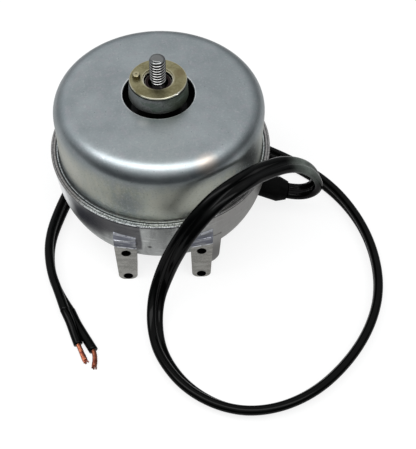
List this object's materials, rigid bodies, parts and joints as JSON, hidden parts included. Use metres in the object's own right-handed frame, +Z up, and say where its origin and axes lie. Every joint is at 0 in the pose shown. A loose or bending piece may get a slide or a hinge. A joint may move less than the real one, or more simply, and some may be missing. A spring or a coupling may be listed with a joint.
{
  "type": "condenser fan motor",
  "caption": "Round shaded-pole fan motor: drawn steel cover on a die-cast base with drilled feet, turned hub with threaded stud, and a flat twin power cord.",
  "frame": {"origin": "on the shaft's axis at the floor that the feet stand on", "axes": "+Z up the shaft towards its stud, -Y towards the front pair of mounting feet, +X towards the side that the cord leaves"},
  "size_m": [0.1436, 0.163, 0.0848],
  "materials": {
    "die_cast": "cast skin, satin",
    "zinc_steel": "bright zinc plate, satin",
    "dark_steel": "turned, dull grey",
    "yellow_zinc": "yellow zinc plate, satin",
    "bright_steel": "ground and rolled, bright",
    "electrical_steel": "oxide-coated laminations",
    "cage_aluminium": "die-cast",
    "copper": "drawn copper",
    "enamelled_copper": "enamelled winding",
    "bronze": "sintered, oiled",
    "felt": "pressed felt",
    "bobbin_nylon": "moulded nylon",
    "phenolic": "machined laminate",
    "black_nylon": "moulded, satin",
    "black_pvc": "extruded, glossy"
  },
  "bodies": {
    "housing": {"base_casting": "die_cast", "cover": "zinc_steel", "stator_core": "electrical_steel", "shading_rings": "copper", "coil_links": "enamelled_copper", "stator_screws": "bright_steel", "bearing_sleeve": "bronze", "oil_felt": "felt", "bearing_plug": "zinc_steel", "thrust_washer": "phenolic", "strain_relief": "black_nylon", "inner_lead_1": "black_pvc", "inner_lead_2": "black_pvc", "power_cord": "black_pvc", "lead_left": "black_pvc", "lead_right": "black_pvc", "strands_left": "copper", "strands_right": "copper", "bobbin_1": "bobbin_nylon", "coil_1": "enamelled_copper", "bobbin_2": "bobbin_nylon", "coil_2": "enamelled_copper", "bobbin_3": "bobbin_nylon", "coil_3": "enamelled_copper", "bobbin_4": "bobbin_nylon", "coil_4": "enamelled_copper"},
    "rotor": {"rotor_hub": "dark_steel", "hub_face_plate": "yellow_zinc", "shaft": "bright_steel", "drive_pin": "yellow_zinc", "rotor_core": "electrical_steel", "rotor_cage": "cage_aluminium", "oil_slinger": "black_nylon", "lower_washer": "phenolic", "retaining_clip": "bright_steel"}
  },
  "joints": [
    {"name": "rotor_spin", "type": "hinge", "parent": "housing", "child": "rotor", "pos_m": [0, 0, 0.0738], "axis": [0, 0, 1], "continuous": true}
  ]
}
